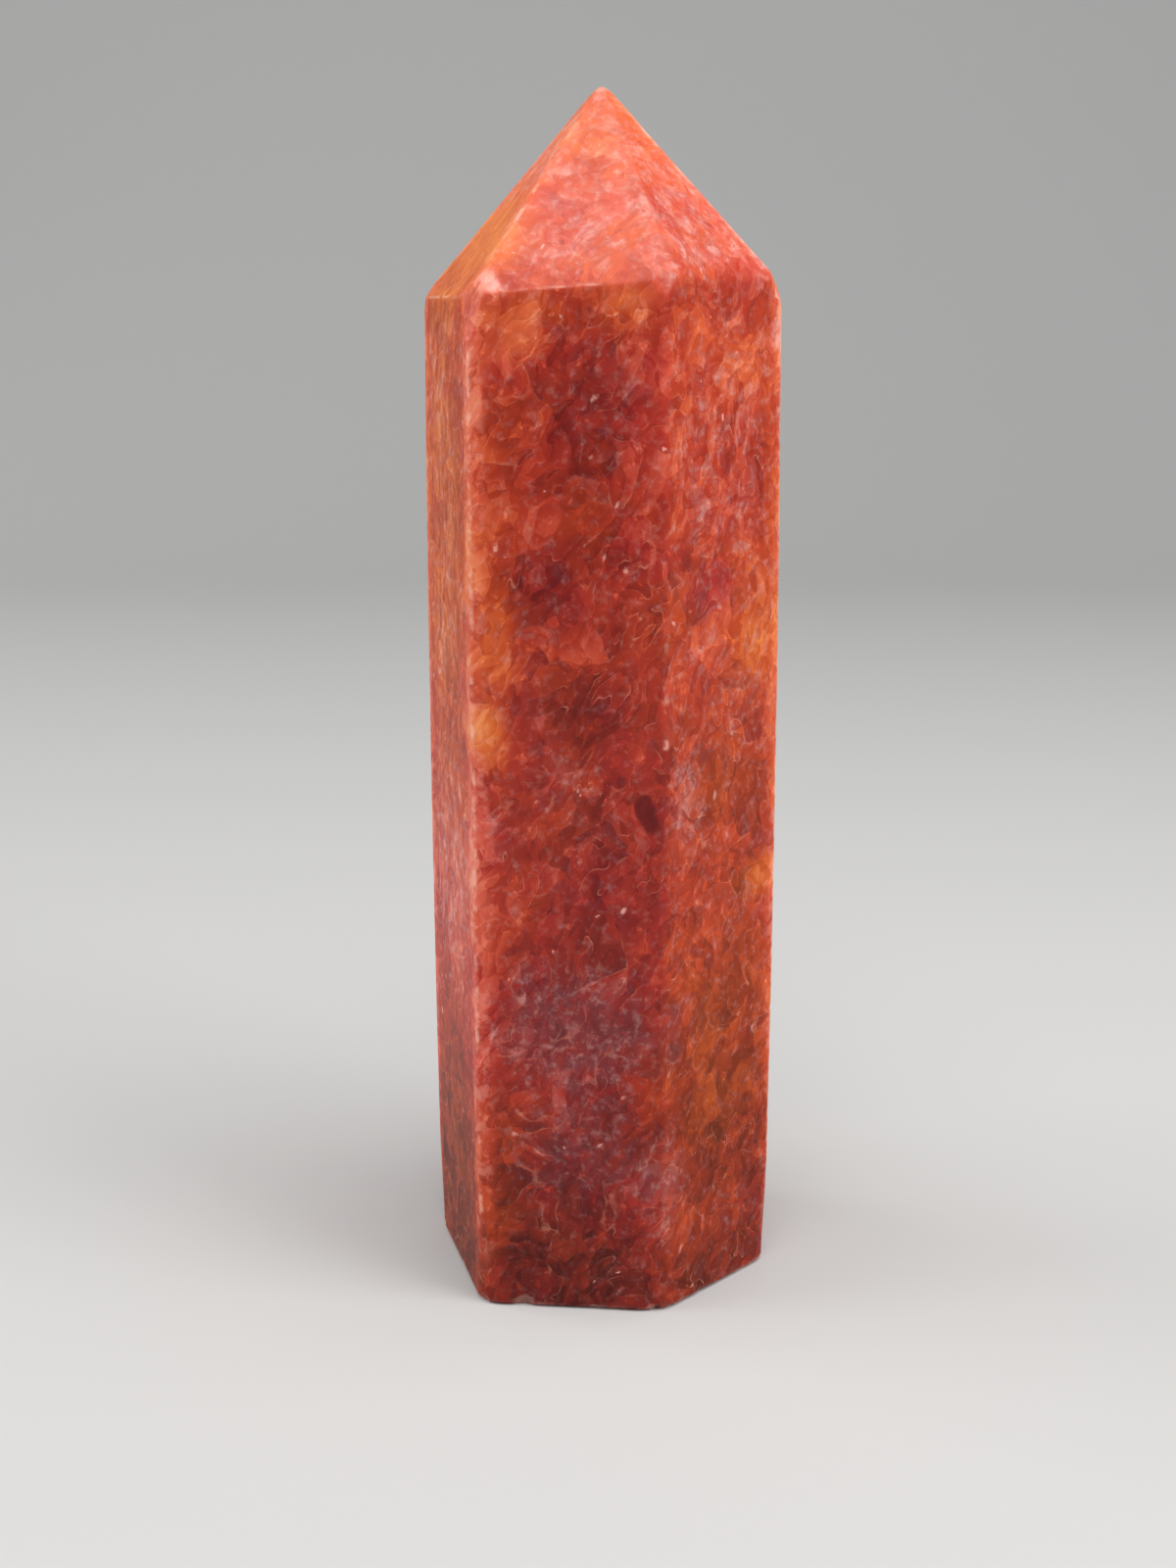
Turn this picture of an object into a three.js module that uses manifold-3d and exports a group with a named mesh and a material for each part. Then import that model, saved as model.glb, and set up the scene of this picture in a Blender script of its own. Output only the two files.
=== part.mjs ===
// Sunstone point: one piece of stone ground to six upright sides and six tip facets, then polished.
// A blank is ground on one flat after another, as the real point is made. The last flats are the narrow
// ones that polishing leaves along the edges and at the corners.
// Millimetres and degrees, +Z up. The flats are placed from the axis through the tip.
import * as THREE from "three";
import { mergeVertices } from "three/addons/utils/BufferGeometryUtils.js";
import Module from "manifold-3d";

// Driving dimensions
const HEIGHT = 90; // from the foot to the worn tip
const SHARP_HEIGHT = 90.5; // where the six facets would meet if the tip were not worn
const BLANK_WIDTH = 60;
const WHEEL_SIZE = 3 * HEIGHT; // wide enough to take a whole side off the blank at once
const EDGE_RADIUS = 0.7; // polished edges of the sides and facets
const FOOT_BEVEL = 0.35; // bevel round the sawn foot
const FOOT_BEVEL_ANGLE = 50; // below level
const SOFTENING_STEPS = [0.25, 0.5, 0.75]; // where the flats of an eased edge lie between its two faces

// The six sides in turn: which way each faces (0 is +X, 90 is +Y), its distance from the axis at the
// foot, and how far it leans in.
const SIDES = [
  { azimuth: -95.4, distance: 11.45, lean: 0.1 }, // front
  { azimuth: -44.8, distance: 11.8, lean: 0.4 }, // right
  { azimuth: 17, distance: 11.85, lean: 0.2 }, // back right
  { azimuth: 83.5, distance: 11.35, lean: 0.15 }, // back
  { azimuth: 136, distance: 11.85, lean: 0.1 }, // back left
  { azimuth: -163.4, distance: 11.82, lean: 0 }, // left
];

// The tip facet over each side: which way it faces and how far its face looks up. All six pass through
// the sharp tip.
const FACETS = [
  { azimuth: -98.5, rise: 38.2 },
  { azimuth: -43.8, rise: 39.6 },
  { azimuth: 18.5, rise: 38.6 },
  { azimuth: 82, rise: 38 },
  { azimuth: 137.5, rise: 39.2 },
  { azimuth: -162.8, rise: 38.2 },
];

// Where a shoulder corner has been worn away more than its edges. Each lies between side number
// `after` and the next one.
const WORN_CORNERS = [
  { after: 5, azimuth: -139, rise: 12.3, cut: 0.75 },
  { after: 0, azimuth: -70, rise: 20, cut: 0.4 },
  { after: 1, azimuth: -14, rise: 19, cut: 0.5 },
  { after: 2, azimuth: 50, rise: 22, cut: 0.35 },
  { after: 3, azimuth: 110, rise: 20, cut: 0.4 },
  { after: 4, azimuth: 166, rise: 20, cut: 0.4 },
];

// Chips in the rim of the foot, each a shallow scoop: the way it faces, the scoop's radius, how deep it
// goes into the side, and how far its centre lies under the foot.
const CHIPS = [
  { azimuth: -61.5, radius: 1, depth: 0.45, below: 0.3 },
  { azimuth: -76, radius: 1.2, depth: 0.35, below: 0.85 },
  { azimuth: -101, radius: 1.6, depth: 0.3, below: 1.3 },
  { azimuth: 27, radius: 1.3, depth: 0.5, below: 0.6 },
  { azimuth: 109, radius: 1.4, depth: 0.4, below: 0.9 },
  { azimuth: 158, radius: 1.1, depth: 0.45, below: 0.5 },
];
const CHIP_SEGMENTS = 14;
const WELD_DISTANCE = 1e-4; // corners nearer than this are one corner

const STONE_COLOUR = "#b8452f";

const radians = THREE.MathUtils.degToRad;

// A face looking out at this azimuth and rise.
function outward(azimuth, rise) {
  return new THREE.Vector3(
    Math.cos(radians(rise)) * Math.cos(radians(azimuth)),
    Math.cos(radians(rise)) * Math.sin(radians(azimuth)),
    Math.sin(radians(rise)),
  );
}

// A flat is the plane that a face lies in: its outward normal and its distance from the origin.
function flat(normal, distance) {
  return { normal, distance };
}

function sideFlat({ azimuth, distance, lean }) {
  return flat(outward(azimuth, lean), distance * Math.cos(radians(lean)));
}

function facetFlat({ azimuth, rise }) {
  return flat(outward(azimuth, rise), SHARP_HEIGHT * Math.sin(radians(rise)));
}

// The point where three flats meet.
function meeting(a, b, c) {
  const point = new THREE.Vector3();
  for (const [p, q, r] of [[a, b, c], [b, c, a], [c, a, b]]) {
    point.addScaledVector(q.normal.clone().cross(r.normal), p.distance);
  }
  return point.divideScalar(a.normal.dot(b.normal.clone().cross(c.normal)));
}

// One narrow flat on the edge between two faces, touching the round of that radius.
function easedEdge(a, b, share, radius) {
  const normal = a.normal.clone().multiplyScalar(1 - share).addScaledVector(b.normal, share);
  const length = normal.length();
  const inner = (1 - share) * (a.distance - radius) + share * (b.distance - radius);
  return flat(normal.divideScalar(length), inner / length + radius);
}

// A flat that takes a shoulder corner off to the given depth.
function wornCorner({ after, azimuth, rise, cut }, sides, facets) {
  const normal = outward(azimuth, rise);
  const next = (after + 1) % sides.length;
  const corners = [
    meeting(sides[after], sides[next], facets[after]),
    meeting(sides[after], sides[next], facets[next]),
  ];
  return flat(normal, Math.min(...corners.map((corner) => corner.dot(normal))) - cut);
}

// The worn tip is a small ball that all the facets touch. These flats follow it up to the top.
function wornTip(facets) {
  const slope = facets[0].distance / SHARP_HEIGHT;
  const radius = ((SHARP_HEIGHT - HEIGHT) * slope) / (1 - slope);
  const centre = new THREE.Vector3(0, 0, HEIGHT - radius);
  const up = new THREE.Vector3(0, 0, 1);
  const round = SOFTENING_STEPS.flatMap((share) =>
    facets.map(({ normal }) => normal.clone().lerp(up, share).normalize()),
  );
  return [...round, up].map((normal) => flat(normal, centre.dot(normal) + radius));
}

function footBevel(side) {
  const azimuth = THREE.MathUtils.radToDeg(Math.atan2(side.normal.y, side.normal.x));
  const normal = outward(azimuth, -FOOT_BEVEL_ANGLE);
  const rim = side.distance * Math.cos(radians(FOOT_BEVEL_ANGLE));
  return flat(normal, rim - FOOT_BEVEL * Math.cos(radians(FOOT_BEVEL_ANGLE)));
}

// Every flat of the stone, in the order of grinding.
function stoneFlats() {
  const sides = SIDES.map(sideFlat);
  const facets = FACETS.map(facetFlat);
  const eased = sides.flatMap((side, i) => {
    const next = (i + 1) % sides.length;
    return SOFTENING_STEPS.flatMap((share) => [
      easedEdge(side, sides[next], share, EDGE_RADIUS),
      easedEdge(facets[i], facets[next], share, EDGE_RADIUS),
      easedEdge(side, facets[i], share, EDGE_RADIUS),
    ]);
  });
  return [
    ...sides,
    ...facets,
    ...WORN_CORNERS.map((corner) => wornCorner(corner, sides, facets)),
    ...eased,
    ...wornTip(facets),
    ...sides.map(footBevel),
  ];
}

const wasm = await Module();
wasm.setup();

// A closed three.js geometry as a solid that can be cut.
function solidOf(geometry) {
  const bare = geometry.clone();
  bare.deleteAttribute("normal");
  bare.deleteAttribute("uv");
  const merged = mergeVertices(bare, WELD_DISTANCE);
  return new wasm.Manifold(
    new wasm.Mesh({
      numProp: 3,
      vertProperties: new Float32Array(merged.attributes.position.array),
      triVerts: new Uint32Array(merged.index.array),
    }),
  );
}

function geometryOf(solid) {
  const { numProp, vertProperties, triVerts } = solid.getMesh();
  const positions = new Float32Array((vertProperties.length / numProp) * 3);
  for (let i = 0; i < positions.length / 3; i++) {
    positions.set(vertProperties.subarray(i * numProp, i * numProp + 3), i * 3);
  }
  const indexed = new THREE.BufferGeometry();
  indexed.setAttribute("position", new THREE.BufferAttribute(positions, 3));
  indexed.setIndex(new THREE.BufferAttribute(triVerts, 1));
  const faceted = indexed.toNonIndexed();
  faceted.computeVertexNormals();
  return faceted;
}

// A block whose one face lies in the flat and whose body is all outside it, as a grinding wheel is.
function wheel({ normal, distance }) {
  const block = new THREE.BoxGeometry(WHEEL_SIZE, WHEEL_SIZE, WHEEL_SIZE);
  block.translate(0, 0, WHEEL_SIZE / 2);
  const turn = new THREE.Quaternion().setFromUnitVectors(new THREE.Vector3(0, 0, 1), normal);
  block.applyQuaternion(turn);
  block.translate(...normal.clone().multiplyScalar(distance).toArray());
  return solidOf(block);
}

// How far the rim of the foot is from the axis, looking this way.
function rimAt(azimuth) {
  const turns = SIDES.map((side) => Math.cos(radians(azimuth - side.azimuth)) / side.distance);
  return 1 / Math.max(...turns);
}

function scoop({ azimuth, radius, depth, below }) {
  const ball = new THREE.SphereGeometry(radius, CHIP_SEGMENTS, CHIP_SEGMENTS / 2);
  const centre = outward(azimuth, 0).multiplyScalar(rimAt(azimuth) + radius - depth).setZ(-below);
  return solidOf(ball.translate(...centre.toArray()));
}

function groundStone() {
  const blank = new THREE.BoxGeometry(BLANK_WIDTH, BLANK_WIDTH, SHARP_HEIGHT);
  let stone = solidOf(blank.translate(0, 0, SHARP_HEIGHT / 2));
  for (const ground of stoneFlats()) {
    stone = stone.subtract(wheel(ground));
  }
  for (const chip of CHIPS) {
    stone = stone.subtract(scoop(chip));
  }
  return geometryOf(stone);
}

const geometry = groundStone();
geometry.computeBoundingBox();
const middle = geometry.boundingBox.getCenter(new THREE.Vector3());
geometry.translate(-middle.x, -middle.y, 0); // the origin is the middle of the foot

const stone = new THREE.Mesh(
  geometry,
  new THREE.MeshStandardMaterial({ color: STONE_COLOUR, roughness: 0.22, metalness: 0, flatShading: true }),
);
stone.name = "stone";

const point = new THREE.Group();
point.add(stone);

export default point;
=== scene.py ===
import math

import bpy
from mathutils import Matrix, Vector


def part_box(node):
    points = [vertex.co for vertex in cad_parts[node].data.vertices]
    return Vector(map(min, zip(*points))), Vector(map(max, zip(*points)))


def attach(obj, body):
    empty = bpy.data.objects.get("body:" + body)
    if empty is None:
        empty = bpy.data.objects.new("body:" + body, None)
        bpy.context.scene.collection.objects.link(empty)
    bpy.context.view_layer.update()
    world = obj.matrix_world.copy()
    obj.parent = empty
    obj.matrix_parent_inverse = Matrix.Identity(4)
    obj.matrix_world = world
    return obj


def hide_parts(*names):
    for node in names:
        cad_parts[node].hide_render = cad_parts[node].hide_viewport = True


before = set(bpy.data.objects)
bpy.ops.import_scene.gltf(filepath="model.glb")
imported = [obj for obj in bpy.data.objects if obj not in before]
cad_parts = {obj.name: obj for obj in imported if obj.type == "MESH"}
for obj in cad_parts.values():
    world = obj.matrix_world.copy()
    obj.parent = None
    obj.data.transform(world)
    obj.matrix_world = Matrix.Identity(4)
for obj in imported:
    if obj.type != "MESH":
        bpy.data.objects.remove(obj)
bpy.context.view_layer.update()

MM = 0.001
STONE_NODE = "stone"

# Driving dimensions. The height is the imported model's own.
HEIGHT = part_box(STONE_NODE)[1][2]
TIP_WEAR = 0.5 * MM  # how far the sharp tip would stand above the worn one
SHARP_HEIGHT = HEIGHT + TIP_WEAR
BLANK_REACH = 30 * MM  # half the width of the blank before any side is ground
EDGE_ROUNDING = 0.65 * MM  # how far the polished edges between two sides or facets are eased
SHOULDER_ROUNDING = 0.25 * MM
CORNER_ROUNDING = 0.12 * MM
TIP_EASING_ENDS = 4 * MM  # below the tip, from where the ridges sharpen towards it
SOFT_EDGE = -50  # degrees round: the edge and shoulder here are polished softer than the others
SOFT_SPAN = (16, 42)  # degrees off it where the softness starts to fade, and where it ends
SOFTER = 2.8  # how many times as far they are eased
SOFT_FROM = (54 * MM, 68 * MM)  # height where the softness starts, and where it is full
FOOT_SOFTER = 2.4  # how many times further the upright edges are eased at the foot
FOOT_SOFT_BELOW = 9 * MM
BELLY = 0.016  # how much the sides swell at half height, as a share of their distance
SHOULDER_HEIGHT = 76 * MM  # about where the sides end; the belly and the nicks reach up to here
FOOT_BEVEL = 0.35 * MM
FOOT_BEVEL_ANGLE = math.radians(50)  # below level
BEVEL_ROUNDING = 0.05 * MM
WAVE_LENGTH = 9 * MM  # of the very small waves that polishing leaves in the faces
WAVES_FADE = 2 * MM  # below the tip, from where they fade towards it
GRAZING = 0.05  # a flat that faces a direction less than this lies out of reach there

# The edges are found by comparing the stone with a blunter one and with a sharp one.
BLUNT, SHARP = 8.0, 0.02  # how many times as far their edges are eased
NEAR_EDGE = 0.7 * MM  # how much deeper the blunt one lies at an edge
ON_EDGE = (0.004 * MM, 0.05 * MM)  # how far the sharp one stands out where the edge starts and is full
EDGE_LINES_FROM = 2 * MM  # above the foot

# The six sides in turn, from the front: which way each faces in degrees (0 is +X, 90 is +Y), its
# distance from the axis at the foot, and how far it leans in, in degrees.
SIDES = {
    "front": (-95.4, 11.45 * MM, 0.1),
    "right": (-44.8, 11.8 * MM, 0.4),
    "back right": (17, 11.85 * MM, 0.2),
    "back": (83.5, 11.35 * MM, 0.15),
    "back left": (136, 11.85 * MM, 0.1),
    "left": (196.6, 11.82 * MM, 0),
}

# The tip facet over each side: which way it faces and how far its face looks up, in degrees.
FACETS = {
    "front": (-98.5, 38.2),
    "right": (-43.8, 39.6),
    "back right": (18.5, 38.6),
    "back": (82, 38),
    "back left": (137.5, 39.2),
    "left": (197.2, 38.2),
}

# Where a shoulder corner has been worn away: the side before it, its direction, how far it looks up,
# and how deep it goes.
WORN_CORNERS = [
    ("left", -139, 12.3, 0.75 * MM),
    ("front", -70, 20, 0.4 * MM),
    ("right", -14, 19, 0.5 * MM),
    ("back right", 50, 22, 0.35 * MM),
    ("back", 110, 20, 0.4 * MM),
    ("back left", 166, 20, 0.4 * MM),
]

# Chips in the rim of the foot: the way each faces, the scoop's radius, how deep it goes into the side,
# how far its centre lies under the foot, and how pale the bruise in it is, from 0 to 1.
FOOT_CHIPS = [
    (-55, 0.8 * MM, 0.25 * MM, 0.2 * MM, 0.95),
    (-61.5, 1.0 * MM, 0.45 * MM, 0.3 * MM, 0.35),
    (-76, 1.2 * MM, 0.35 * MM, 0.85 * MM, 0.35),
    (-101, 1.6 * MM, 0.3 * MM, 1.3 * MM, 0.0),
    (27, 1.3 * MM, 0.5 * MM, 0.6 * MM, 0.5),
    (109, 1.4 * MM, 0.4 * MM, 0.9 * MM, 0.3),
    (158, 1.1 * MM, 0.45 * MM, 0.5 * MM, 0.5),
]
NICK_BRUISES = (0.05, 0.3)  # the least and the most that a small nick is bruised
NICK_OFF_EDGE = 0.004  # how far round from its edge a nick may lie, as a share of a full turn
MOSTLY_SMALL = 2.5  # the higher, the more of the nicks are small ones
LEAST_DEPTH = 0.35  # of the smallest nicks, as a share of the depth that is asked for
BRUISED_DEPTH = 0.1 * MM  # how deep a scoop has gone where its bruise is full

# How the mesh is laid: columns over each side, rings over the foot, and then for each zone of the
# height its rings and where it ends. The rings lie close where the shape bends.
COLUMNS_PER_SIDE = 50
COLUMN_CROWDING = 0.8  # 0 spreads the columns evenly, 1 crowds them into the upright edges
FOOT_RINGS = 12
WALL_ZONES = [
    (8, 0.5 * MM),
    (14, 3.5 * MM),
    (190, 72.3 * MM),
    (40, 77.6 * MM),
    (36, HEIGHT - 1.5 * MM),
]
TIP_RINGS = 14
RINGS = FOOT_RINGS + sum(rings for rings, _ in WALL_ZONES) + TIP_RINGS
WELD_DISTANCE = 1.5e-7  # corners nearer than this are one corner

SCALAR_ANSWERS = ("DOT_PRODUCT", "LENGTH", "DISTANCE")


def paint(code):
    """A colour written as a web code, in the renderer's linear values."""
    parts = [int(code[i:i + 2], 16) / 255 for i in (1, 3, 5)]
    linear = [part / 12.92 if part <= 0.04045 else ((part + 0.055) / 1.055) ** 2.4 for part in parts]
    return (*linear, 1.0)


class Wiring:
    """Places nodes in one tree. A value handed to it is a plain value or another node's output."""

    def __init__(self, tree):
        self.tree = tree

    def feed(self, node, key, value):
        live = [socket for socket in node.inputs if socket.enabled]
        socket = live[key] if isinstance(key, int) else next(s for s in live if s.name == key)
        if isinstance(value, bpy.types.NodeSocket):
            self.tree.links.new(value, socket)
        else:
            socket.default_value = value

    def node(self, kind, values=None, **settings):
        node = self.tree.nodes.new(kind)
        for name, setting in settings.items():
            setattr(node, name, setting)
        for key, value in (values or {}).items():
            self.feed(node, key, value)
        return node

    def made(self, kind, values=None, **settings):
        """What a node puts out first."""
        return self.node(kind, values, **settings).outputs[0]

    def group(self, group, values):
        kind = "ShaderNodeGroup" if group.tree.bl_idname == "ShaderNodeTree" else "GeometryNodeGroup"
        return self.node(kind, values, node_tree=group.tree).outputs

    def math(self, operation, *values):
        return self.made("ShaderNodeMath", dict(enumerate(values)), operation=operation)

    def total(self, *values):
        answer = values[0]
        for value in values[1:]:
            answer = self.math("ADD", answer, value)
        return answer

    def product(self, *values):
        answer = values[0]
        for value in values[1:]:
            answer = self.math("MULTIPLY", answer, value)
        return answer

    def minus(self, value, less):
        return self.math("SUBTRACT", value, less)

    def vector(self, operation, *values):
        node = self.node("ShaderNodeVectorMath", dict(enumerate(values)), operation=operation)
        return node.outputs["Value" if operation in SCALAR_ANSWERS else "Vector"]

    def scaled(self, vector, factor):
        values = {"Vector": vector, "Scale": factor}
        return self.made("ShaderNodeVectorMath", values, operation="SCALE")

    def point(self, **parts):
        """A vector with these parts, and 0 for the others."""
        return self.made("ShaderNodeCombineXYZ", parts)

    def out_at(self, direction, reach, height):
        """The point this far out from the tip axis in a level direction, at this height."""
        return self.vector("ADD", self.scaled(direction, reach), self.point(Z=height))

    def between(self, value, start, end, low=0.0, high=1.0, easing="SMOOTHSTEP"):
        """Goes from low, at start, to high, at end, and no further."""
        values = {"Value": value, "From Min": start, "From Max": end, "To Min": low, "To Max": high}
        return self.made("ShaderNodeMapRange", values, interpolation_type=easing)

    def noise(self, vector, size, detail=2.0, roughness=0.5, shift=None):
        """Soft noise from 0 to 1. A shift gives another noise of the same kind."""
        place = self.vector("ADD", vector, shift) if shift else vector
        values = {"Vector": place, "Scale": 1 / size, "Detail": detail, "Roughness": roughness}
        return self.made("ShaderNodeTexNoise", values)

    def cells(self, vector):
        """Random cells about 1 wide, and the three chances that each has for itself."""
        cell = self.node("ShaderNodeTexVoronoi", {"Vector": vector, "Scale": 1.0}, feature="F1").outputs
        return cell, self.node("ShaderNodeSeparateColor", {"Color": cell["Color"]}).outputs

    def blend(self, amount, base, over):
        node = self.node("ShaderNodeMix", data_type="RGBA")
        for key, value in ((0, amount), (1, base), (2, over)):
            self.feed(node, key, value)
        return next(output for output in node.outputs if output.enabled)


class Group(Wiring):
    """A node group with named inputs, each with its usual value, and named outputs."""

    SOCKETS = {
        float: "NodeSocketFloat",
        int: "NodeSocketInt",
        tuple: "NodeSocketVector",
        type(None): "NodeSocketGeometry",
    }

    def __init__(self, kind, name, takes, gives):
        super().__init__(bpy.data.node_groups.new(name, kind))
        for label, usual in takes.items():
            socket = self.tree.interface.new_socket(
                label, in_out="INPUT", socket_type=self.SOCKETS[type(usual)])
            if isinstance(usual, (float, int, tuple)):
                socket.default_value = usual
        for label, sort in gives.items():
            self.tree.interface.new_socket(label, in_out="OUTPUT", socket_type=self.SOCKETS[sort])
        self.given = self.tree.nodes.new("NodeGroupInput").outputs
        self.answer = self.tree.nodes.new("NodeGroupOutput")

    def give(self, label, value):
        self.tree.links.new(value, self.answer.inputs[label])


# Where things are on the stone

def facing(azimuth, rise=0.0):
    """The direction that looks this many degrees round from +X and this many up from level."""
    direction = Vector((math.cos(math.radians(azimuth)), math.sin(math.radians(azimuth)), 0))
    direction *= math.cos(math.radians(rise))
    direction.z = math.sin(math.radians(rise))
    return direction


def side_at(side, height):
    """How far from the axis a side is at this height."""
    _, distance, lean = SIDES[side]
    return distance - height * math.tan(math.radians(lean))


def corner_azimuth(side, next_side):
    """Where two neighbouring sides meet, in degrees."""
    (a, reach_a, _), (b, reach_b, _) = SIDES[side], SIDES[next_side]
    pull_a = facing(a) / reach_a
    pull_b = facing(b) / reach_b
    edge = Vector((pull_b.y - pull_a.y, pull_a.x - pull_b.x, 0))
    middle = facing(a) + facing(b)
    if edge.dot(middle) < 0:
        edge.negate()
    return math.degrees(math.atan2(edge.y, edge.x))


def on_side(side, across, up):
    """The point of a side this far from its middle line and above the foot, in mm from the tip axis."""
    azimuth = SIDES[side][0]
    along = Vector((-math.sin(math.radians(azimuth)), math.cos(math.radians(azimuth)), 0))
    return facing(azimuth) * side_at(side, up * MM) / MM + along * across + Vector((0, 0, up))


def meeting(*flats):
    """The corner where three flats meet."""
    (a, da), (b, db), (c, dc) = ((facing(azimuth, rise), distance) for azimuth, rise, distance in flats)
    return (b.cross(c) * da + c.cross(a) * db + a.cross(b) * dc) / a.dot(b.cross(c))


def side_flat(side):
    azimuth, distance, lean = SIDES[side]
    return azimuth, lean, distance * math.cos(math.radians(lean))


def facet_flat(facet):
    azimuth, rise = FACETS[facet]
    return azimuth, rise, SHARP_HEIGHT * math.sin(math.radians(rise))


def worn_flat(side, azimuth, rise, depth):
    """The flat that takes a shoulder corner off."""
    names = list(SIDES)
    following = names[(names.index(side) + 1) % len(names)]
    corners = [meeting(side_flat(side), side_flat(following), facet_flat(facet))
               for facet in (side, following)]
    outward = facing(azimuth, rise)
    return azimuth, rise, min(corner.dot(outward) for corner in corners) - depth


def tip_axis():
    """Where the axis through the tip stands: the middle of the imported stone's highest corners."""
    corners = [vertex.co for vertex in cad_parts[STONE_NODE].data.vertices]
    highest = [corner for corner in corners if corner.z > HEIGHT - 0.01 * MM]
    middle = sum(highest, Vector()) / len(highest)
    return Vector((middle.x, middle.y, 0))


# The stone's shape

def level_direction(group, azimuth):
    return group.point(X=group.math("COSINE", azimuth), Y=group.math("SINE", azimuth))


def marked(group, geometry, marks):
    """Notes the value of each mark, by its name, on every point of the geometry."""
    for name, value in marks.items():
        values = {"Geometry": geometry, "Name": name, "Value": value}
        kind = "GeometryNodeStoreNamedAttribute"
        geometry = group.made(kind, values, data_type="FLOAT", domain="POINT")
    return geometry


def ground_flat_group():
    """Grinds one more flat: how far out the stone still reaches in a direction, at a height."""
    takes = {"Reach": 0.0, "Direction": (1.0, 0.0, 0.0), "Height": 0.0, "Azimuth": 0.0, "Rise": 0.0,
             "Distance": 0.0, "Rounding": 0.0}
    group = Group("GeometryNodeTree", "ground flat", takes, {"Reach": float})
    reach, direction, height, azimuth, rise, distance, rounding = (group.given[label] for label in takes)
    towards = group.vector("DOT_PRODUCT", direction, level_direction(group, azimuth))
    towards = group.math("MAXIMUM", towards, GRAZING)
    left_over = group.minus(distance, group.product(height, group.math("SINE", rise)))
    flat = group.math("DIVIDE", left_over, group.product(towards, group.math("COSINE", rise)))
    group.give("Reach", group.math("SMOOTH_MIN", reach, flat, rounding))
    return group


def soft_edge_share(group, direction):
    """1 at the softly polished edge, 0 well away from it."""
    near, far = (math.cos(math.radians(off)) for off in SOFT_SPAN)
    return group.between(group.vector("DOT_PRODUCT", direction, tuple(facing(SOFT_EDGE))), far, near)


def soft_top_share(group, direction, height):
    """1 at the top of the softly polished edge, 0 well away from it."""
    return group.product(soft_edge_share(group, direction), group.between(height, *SOFT_FROM))


def stone_reach_group(ground_flat):
    """How far the stone reaches from the axis in a direction, at a height, once all flats are ground."""
    takes = {"Direction": (1.0, 0.0, 0.0), "Height": 0.0, "Easing": 1.0}
    group = Group("GeometryNodeTree", "stone reach", takes, {"Reach": float})
    direction, height, easing = (group.given[label] for label in takes)

    def grind(reach, flats, level, rounding):
        for azimuth, rise, distance in flats:
            reach = group.group(ground_flat, {
                "Reach": reach,
                "Direction": direction,
                "Height": level,
                "Azimuth": math.radians(azimuth),
                "Rise": math.radians(rise),
                "Distance": distance,
                "Rounding": rounding,
            })["Reach"]
        return reach

    at_foot = group.between(height, 0.0, FOOT_SOFT_BELOW, FOOT_SOFTER, 0.0)
    edge_rounding = group.product(group.total(easing, at_foot), EDGE_ROUNDING)
    softer = group.product(soft_top_share(group, direction, height), SOFTER - 1)
    eased = group.product(easing, group.total(1.0, softer))
    sides = grind(BLANK_REACH, [side_flat(side) for side in SIDES], height, edge_rounding)
    share = group.math("DIVIDE", height, SHOULDER_HEIGHT)
    swell = group.product(share, group.minus(1.0, share), 4 * BELLY)
    sides = group.product(sides, group.total(1.0, group.math("MAXIMUM", swell, 0.0)))

    below_tip = group.math("MAXIMUM", group.minus(HEIGHT, height), 0.0)
    worn_drop = group.math("SQRT", group.product(below_tip, group.total(below_tip, 2 * TIP_WEAR)))
    worn_height = group.minus(SHARP_HEIGHT, worn_drop)
    ridge_rounding = group.product(eased, group.between(below_tip, 0.0, TIP_EASING_ENDS), EDGE_ROUNDING)
    facets = grind(BLANK_REACH, [facet_flat(facet) for facet in FACETS], worn_height, ridge_rounding)
    facets = group.math("MAXIMUM", facets, 0.0)

    shoulder = group.math("SMOOTH_MIN", sides, facets, group.product(eased, SHOULDER_ROUNDING))
    worn = grind(shoulder, [worn_flat(*corner) for corner in WORN_CORNERS], height, CORNER_ROUNDING)
    bevel = group.total(sides, -FOOT_BEVEL, group.product(height, math.tan(FOOT_BEVEL_ANGLE)))
    group.give("Reach", group.math("SMOOTH_MIN", worn, bevel, BEVEL_ROUNDING))
    return group


def mesh_azimuth(group, across):
    """The direction of a column in radians, from its place 0 to 1 round the stone."""
    names = list(SIDES)
    corners = [corner_azimuth(names[i - 1], names[i]) for i in range(len(names))]
    start = max(corners)
    turns = sorted((corner - start) % 360 for corner in corners) + [360]
    rounds = [math.radians(start + turn) for turn in turns]
    position = group.product(across, float(len(names)))
    whole = group.math("FLOOR", position)
    part = group.math("FRACT", position)

    def corner_number(offset):
        node = group.node("GeometryNodeIndexSwitch", data_type="FLOAT")
        while len(node.index_switch_items) < len(rounds) + 1:
            node.index_switch_items.new()
        group.feed(node, "Index", group.total(whole, offset))
        for i, angle in enumerate(rounds + [rounds[-1]]):
            group.feed(node, str(i), angle)
        return node.outputs[0]

    wave = group.math("SINE", group.product(part, math.tau))
    crowded = group.minus(part, group.product(wave, COLUMN_CROWDING / math.tau))
    before, after = corner_number(0.0), corner_number(1.0)
    return group.total(before, group.product(crowded, group.minus(after, before)))


def mesh_height(group, ring):
    """The height of a ring, from its number, once the rings of the foot are laid."""
    steps = []
    start, base = float(FOOT_RINGS), 0.0
    for rings, top in WALL_ZONES:
        steps.append(group.between(ring, start, start + rings, 0.0, top - base, easing="LINEAR"))
        start, base = start + rings, top
    share = group.between(ring, start, start + TIP_RINGS, 0.0, 1.0, easing="LINEAR")
    left = group.minus(1.0, share)
    rounded = group.minus(1.0, group.product(left, left))
    steps.append(group.product(rounded, HEIGHT - base))
    return group.total(*steps)


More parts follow.
